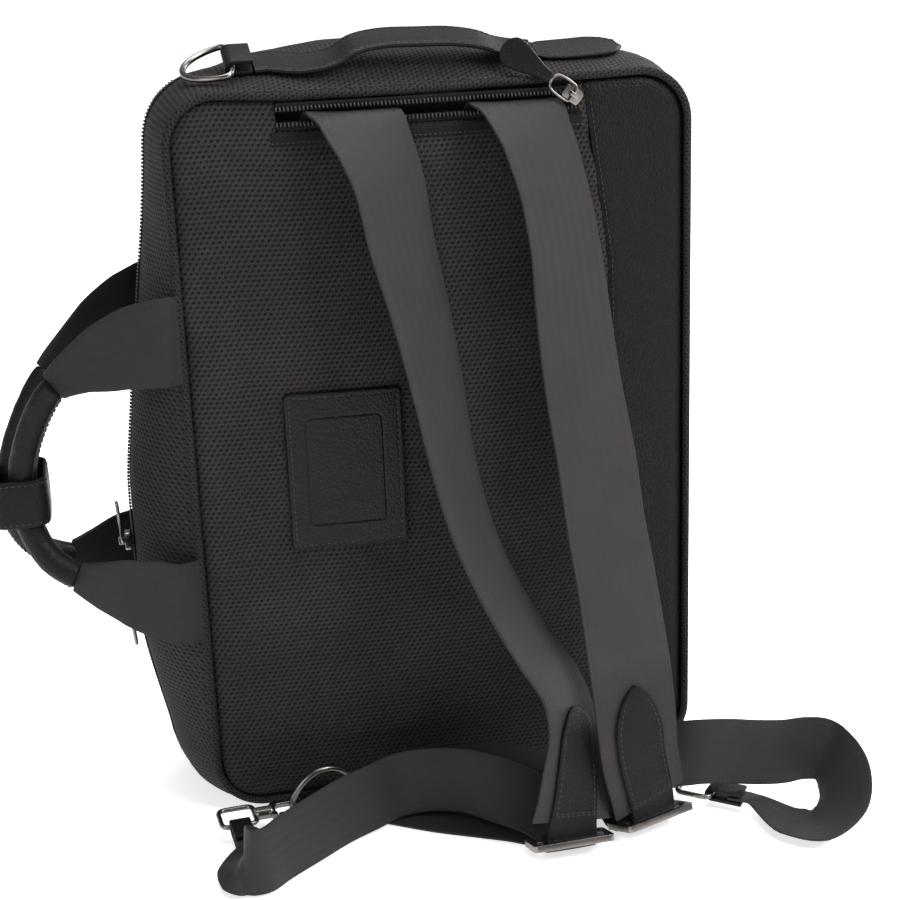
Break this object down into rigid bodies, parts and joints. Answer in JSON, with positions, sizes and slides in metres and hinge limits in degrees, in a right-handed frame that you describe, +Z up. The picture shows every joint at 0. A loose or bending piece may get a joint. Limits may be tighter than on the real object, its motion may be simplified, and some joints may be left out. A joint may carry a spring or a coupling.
{
  "type": "convertible backpack",
  "caption": "Convertible backpack with webbing shoulder straps clipped to lower corner rings, padded carry handles, a zipped strap pocket and leather trim.",
  "frame": {"origin": "centre of the flat underside that the bag stands on", "axes": "+Z up, -Y towards the panel with the shoulder straps, -X towards the carry handles"},
  "size_m": [0.4796, 0.2502, 0.4495],
  "materials": {
    "mesh_cloth": "matte open-cell mesh over padding",
    "lining": "matte plain weave",
    "zip_tape": "matte woven tape",
    "zip_coil": "satin coil",
    "webbing": "satin ribbed webbing",
    "gunmetal": "dark nickel, polished",
    "leather": "pebbled, semi-gloss"
  },
  "bodies": {
    "bag": {"gusset_cloth": "mesh_cloth", "gusset_leather": "leather", "piping_near": "mesh_cloth", "piping_far": "mesh_cloth", "back_panel_cloth": "mesh_cloth", "back_panel_leather": "leather", "front_panel_cloth": "mesh_cloth", "front_panel_leather": "leather", "pocket_wall": "lining", "main_zip_tape": "zip_tape", "main_zip_coil": "zip_coil", "main_high_slider": "gunmetal", "main_low_slider": "gunmetal", "pocket_tape_low": "zip_tape", "pocket_coil_low": "zip_coil", "pocket_tape_high": "zip_tape", "pocket_coil_high": "zip_coil", "pocket_slider": "gunmetal", "left_strap": "webbing", "left_tab": "leather", "right_strap": "webbing", "right_tab": "leather", "left_slide": "gunmetal", "right_slide": "gunmetal", "left_keeper": "leather", "left_ring": "gunmetal", "left_hook": "gunmetal", "left_fold": "leather", "left_band": "webbing", "right_keeper": "leather", "right_ring": "gunmetal", "right_hook": "gunmetal", "right_fold": "leather", "right_band": "webbing", "near_grip": "leather", "near_foot_low": "webbing", "near_foot_high": "webbing", "far_grip": "leather", "far_foot_low": "webbing", "far_foot_high": "webbing", "handle_wrap": "leather", "top_keeper": "leather", "top_handle": "leather", "top_handle_patch": "leather", "patch": "leather"},
    "top_ring": {"top_ring": "gunmetal"},
    "pocket_pull": {"pocket_pull_wire": "gunmetal", "pocket_pull_leather": "leather"},
    "main_high_pull": {"main_high_pull": "gunmetal"},
    "main_low_pull": {"main_low_pull": "gunmetal"},
    "left_gate": {"left_gate": "gunmetal"},
    "right_gate": {"right_gate": "gunmetal"}
  },
  "joints": [
    {"name": "top_ring_swing", "type": "hinge", "parent": "bag", "child": "top_ring", "pos_m": [-0.1044, -0.021, 0.43627], "axis": [0, 0.9511, 0.309], "range_deg": [0, 140]},
    {"name": "pocket_pull_swing", "type": "hinge", "parent": "bag", "child": "pocket_pull", "pos_m": [0.0765, -0.0612, 0.4109], "axis": [0.6157, 0, 0.788], "range_deg": [0, 150]},
    {"name": "main_high_pull_swing", "type": "hinge", "parent": "bag", "child": "main_high_pull", "pos_m": [-0.1868, 0, 0.16], "axis": [0, -1, 0], "range_deg": [0, 160]},
    {"name": "main_low_pull_swing", "type": "hinge", "parent": "bag", "child": "main_low_pull", "pos_m": [-0.1868, 0, 0.117], "axis": [0, 1, 0], "range_deg": [0, 160]},
    {"name": "left_gate_press", "type": "hinge", "parent": "bag", "child": "left_gate", "pos_m": [-0.11231, -0.08191, 0.00965], "axis": [0, 0, 1], "range_deg": [0, 18], "stiffness_Nm_per_rad": 0.02, "springref_deg": -8.59},
    {"name": "right_gate_press", "type": "hinge", "parent": "bag", "child": "right_gate", "pos_m": [0.11274, -0.09884, 0.0154], "axis": [-0.6428, -0.766, 0], "range_deg": [0, 18], "stiffness_Nm_per_rad": 0.02, "springref_deg": -8.59}
  ]
}
